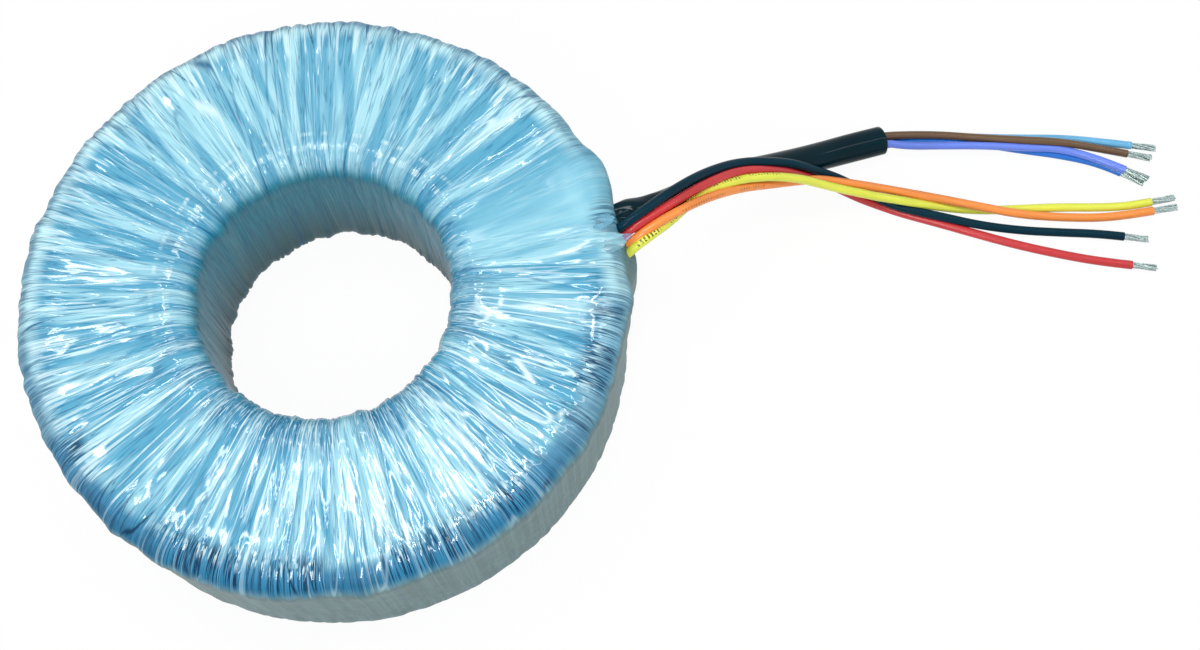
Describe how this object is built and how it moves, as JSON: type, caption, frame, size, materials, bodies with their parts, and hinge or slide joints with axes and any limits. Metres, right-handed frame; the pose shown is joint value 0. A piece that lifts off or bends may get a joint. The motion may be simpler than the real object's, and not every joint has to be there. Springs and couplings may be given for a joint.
{
  "type": "toroidal transformer",
  "caption": "Toroidal power transformer: a ring core with layered windings under a clear film wrap, a central mounting bore, and coloured flying leads with stripped ends, some in a dark sleeve.",
  "frame": {"origin": "centre of the ring's base, on the surface that the transformer stands on", "axes": "+Z along the ring's axis, up through the bore; +X towards the free ends of the leads"},
  "size_m": [0.2846, 0.14, 0.046],
  "materials": {
    "core_steel": "satin",
    "washer_board": "matte",
    "core_film": "gloss",
    "enamelled_copper": "gloss",
    "barrier_film": "gloss",
    "wrap_film": "gloss",
    "sleeve_vinyl": "satin",
    "joint_sleeve_vinyl": "satin",
    "tinned_copper": "satin",
    "insulation_brown": "satin",
    "insulation_violet": "satin",
    "insulation_sky_blue": "satin",
    "insulation_blue": "satin",
    "insulation_black": "satin",
    "insulation_red": "satin",
    "insulation_orange": "satin",
    "insulation_yellow": "satin"
  },
  "bodies": {
    "root": {"core": "core_steel", "lower_end_washer": "washer_board", "upper_end_washer": "washer_board", "core_insulation": "core_film", "primary_winding_a": "enamelled_copper", "primary_winding_b": "enamelled_copper", "winding_barrier": "barrier_film", "secondary_winding_a": "enamelled_copper", "secondary_winding_b": "enamelled_copper", "outer_wrap": "wrap_film", "primary_sleeve": "sleeve_vinyl", "lead_brown": "insulation_brown", "conductor_brown": "tinned_copper", "joint_sleeve_brown": "joint_sleeve_vinyl", "lead_violet": "insulation_violet", "conductor_violet": "tinned_copper", "joint_sleeve_violet": "joint_sleeve_vinyl", "lead_sky_blue": "insulation_sky_blue", "conductor_sky_blue": "tinned_copper", "joint_sleeve_sky_blue": "joint_sleeve_vinyl", "lead_blue": "insulation_blue", "conductor_blue": "tinned_copper", "joint_sleeve_blue": "joint_sleeve_vinyl", "lead_black": "insulation_black", "conductor_black": "tinned_copper", "joint_sleeve_black": "joint_sleeve_vinyl", "lead_red": "insulation_red", "conductor_red": "tinned_copper", "joint_sleeve_red": "joint_sleeve_vinyl", "lead_orange": "insulation_orange", "conductor_orange": "tinned_copper", "joint_sleeve_orange": "joint_sleeve_vinyl", "lead_yellow": "insulation_yellow", "conductor_yellow": "tinned_copper", "joint_sleeve_yellow": "joint_sleeve_vinyl"}
  },
  "joints": []
}
